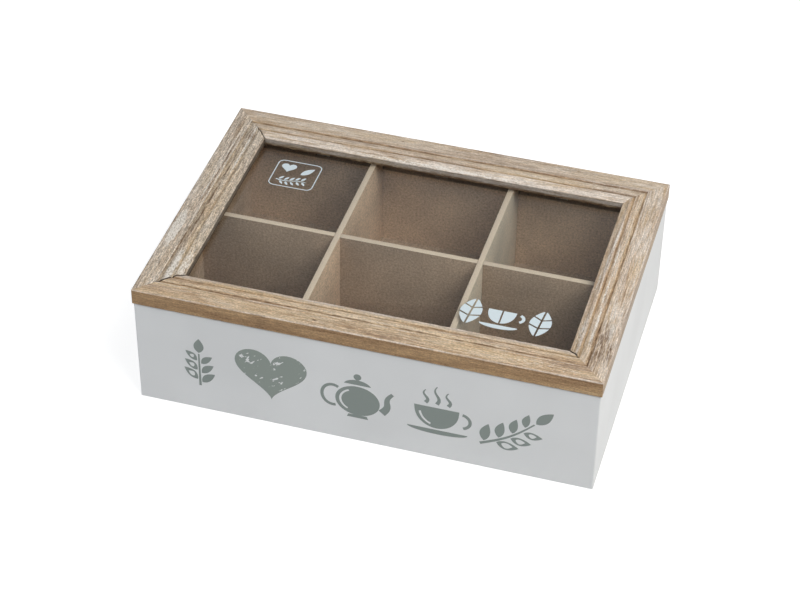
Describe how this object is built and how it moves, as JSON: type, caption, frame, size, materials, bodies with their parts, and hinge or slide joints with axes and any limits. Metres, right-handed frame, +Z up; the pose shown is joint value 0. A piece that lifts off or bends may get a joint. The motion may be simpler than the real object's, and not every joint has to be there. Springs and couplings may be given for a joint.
{
  "type": "tea bag organizer box",
  "caption": "Flat painted wooden box divided into compartments for tea bags, with a hinged lid whose mitred wooden moulding frames a glass pane.",
  "frame": {"origin": "on the table under the middle of the closed lid, in the box's flat underside", "axes": "+X along the long side to the right as seen from the front, +Y from the front to the hinged back, +Z up"},
  "size_m": [0.24, 0.1683, 0.0712],
  "materials": {
    "painted_board": "satin white paint on fibreboard, brown inside",
    "bare_board": "bare brown fibreboard",
    "washed_wood": "whitewashed and rubbed bare in places",
    "clear_glass": "clear float glass",
    "hinge_brass": "pressed, lightly worn",
    "screw_brass": "turned",
    "steel": "plain drawn steel"
  },
  "bodies": {
    "box": {"front_wall": "painted_board", "back_wall": "painted_board", "left_wall": "painted_board", "right_wall": "painted_board", "bottom_panel": "bare_board", "long_divider": "bare_board", "left_cross_divider": "bare_board", "right_cross_divider": "bare_board", "wall_brads": "steel", "bottom_brads": "steel", "left_hinge_lower_leaf": "hinge_brass", "right_hinge_lower_leaf": "hinge_brass", "left_hinge_pin": "hinge_brass", "right_hinge_pin": "hinge_brass", "lower_hinge_screws": "screw_brass"},
    "lid": {"lid_front_rail": "washed_wood", "lid_back_rail": "washed_wood", "lid_left_stile": "washed_wood", "lid_right_stile": "washed_wood", "glass_pane": "clear_glass", "glazing_points": "steel", "mitre_nails": "steel", "left_hinge_upper_leaf": "hinge_brass", "right_hinge_upper_leaf": "hinge_brass", "upper_hinge_screws": "screw_brass"}
  },
  "joints": [
    {"name": "lid_hinge", "type": "hinge", "parent": "box", "child": "lid", "pos_m": [0, 0.0842, 0.06215], "axis": [-1, 0, 0], "range_deg": [0, 180]}
  ]
}
